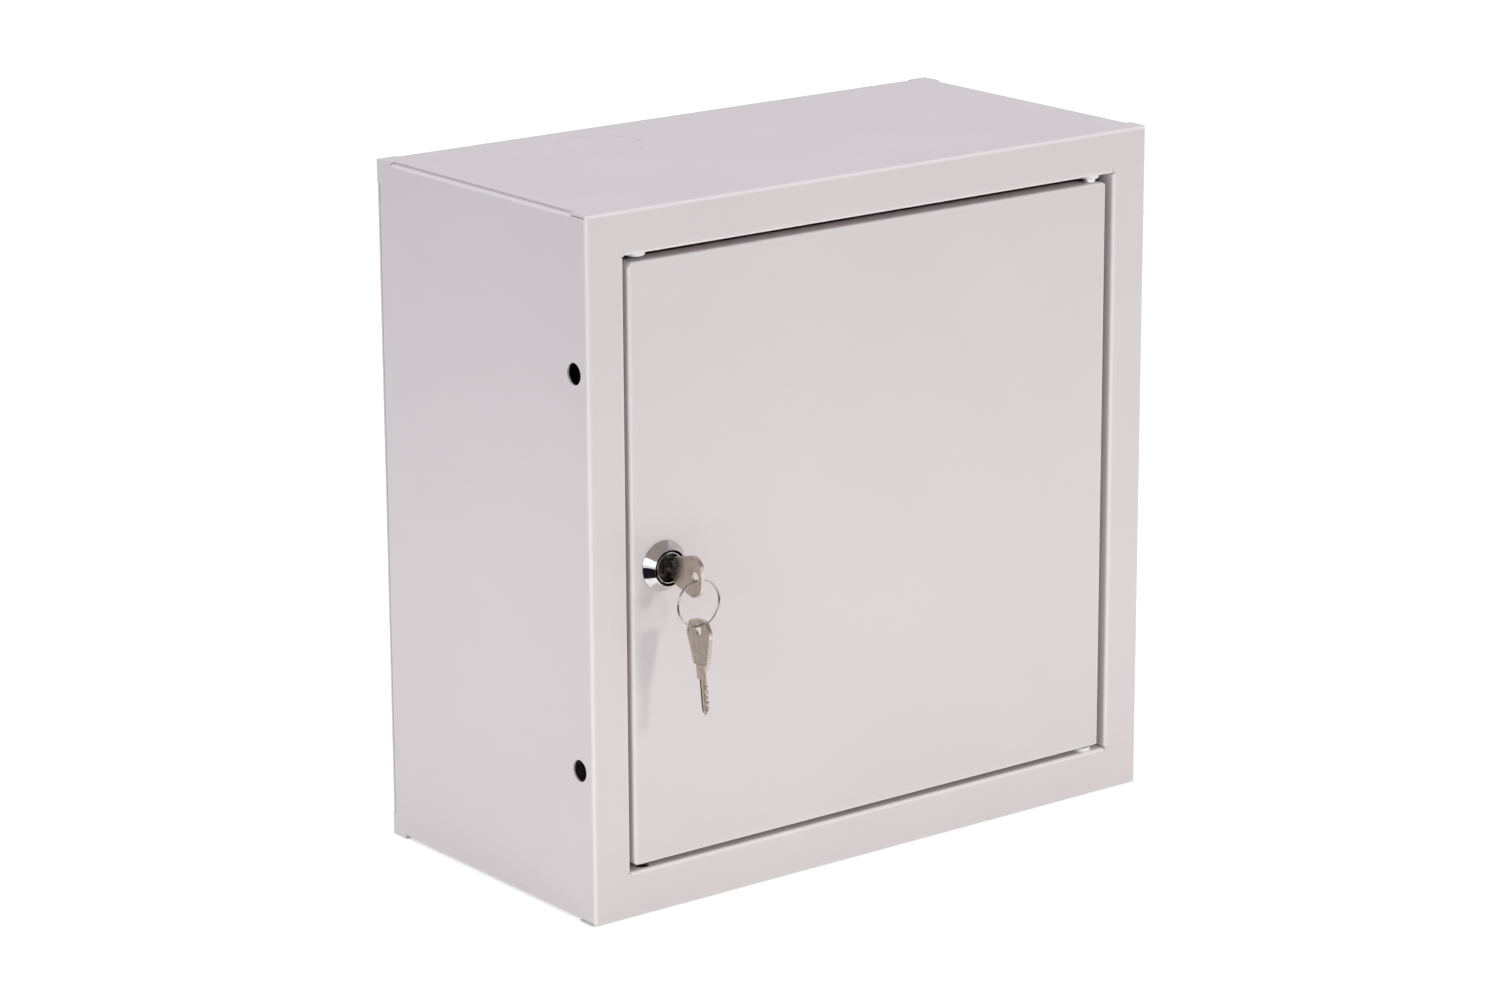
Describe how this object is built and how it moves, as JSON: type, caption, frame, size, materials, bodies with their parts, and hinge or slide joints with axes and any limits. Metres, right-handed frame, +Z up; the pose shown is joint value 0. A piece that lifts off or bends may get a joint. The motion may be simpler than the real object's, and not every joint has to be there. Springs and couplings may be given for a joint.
{
  "type": "steel wall enclosure",
  "caption": "Folded steel wall cabinet with an inset door on pin hinges, a cam lock with a key in it, a spare key on a ring, and a mounting plate inside.",
  "frame": {"origin": "centre of the four wall fixing holes, on the rear face of the rear panel", "axes": "+X to the right along the front, +Y into the wall, +Z up"},
  "size_m": [0.4, 0.2418, 0.4],
  "materials": {
    "painted_steel": "light grey powder coat with a fine orange peel",
    "zinc_plate": "zinc plated",
    "brass": "plain",
    "white_plastic": "moulded",
    "bright_pin": "bright turned steel",
    "chrome": "polished",
    "lock_zinc": "die-cast, nickel plated",
    "key_nickel": "worn nickel",
    "ring_steel": "hardened spring steel"
  },
  "bodies": {
    "cabinet": {"body_shell": "painted_steel", "rear_panel": "painted_steel", "upper_hinge_bush": "white_plastic", "lower_hinge_bush": "white_plastic", "hole_plug": "white_plastic", "door_stops": "painted_steel", "plate_studs": "zinc_plate", "plate_spacers": "zinc_plate", "mounting_plate": "zinc_plate", "plate_washers": "zinc_plate", "plate_nuts": "zinc_plate", "body_earth_stud": "zinc_plate", "body_earth_washer": "zinc_plate", "body_earth_nut": "brass"},
    "door": {"door_panel": "painted_steel", "upper_hinge_pin": "bright_pin", "lower_hinge_pin": "bright_pin", "lock_rosette": "chrome", "lock_barrel": "lock_zinc", "lock_nut": "zinc_plate", "door_earth_stud": "zinc_plate", "door_earth_washer": "zinc_plate", "door_earth_nut": "brass"},
    "lock_core": {"lock_plug": "lock_zinc", "lock_cam": "zinc_plate", "cam_washer": "zinc_plate", "cam_screw": "zinc_plate"},
    "key": {"key_in_lock": "key_nickel"},
    "key_ring": {"key_ring": "ring_steel"},
    "spare_key": {"spare_key": "key_nickel"}
  },
  "joints": [
    {"name": "door_hinge", "type": "hinge", "parent": "cabinet", "child": "door", "pos_m": [0.1625, -0.1925, 0], "axis": [0, 0, 1], "range_deg": [0, 115]},
    {"name": "lock_turn", "type": "hinge", "parent": "door", "child": "lock_core", "pos_m": [-0.1505, -0.2, -0.001], "axis": [0, 1, 0], "range_deg": [0, 90]},
    {"name": "key_withdraw", "type": "slide", "parent": "lock_core", "child": "key", "axis": [0, -1, 0], "range_m": [0, 0.03]},
    {"name": "ring_swing", "type": "hinge", "parent": "key", "child": "key_ring", "pos_m": [-0.1505, -0.2292, -0.003], "axis": [0.9945, -0.1045, 0], "range_deg": [-90, 12]},
    {"name": "spare_key_swing", "type": "hinge", "parent": "key_ring", "child": "spare_key", "pos_m": [-0.14891, -0.22937, -0.0289], "axis": [0.9945, -0.1045, 0], "range_deg": [-60, 10]}
  ]
}
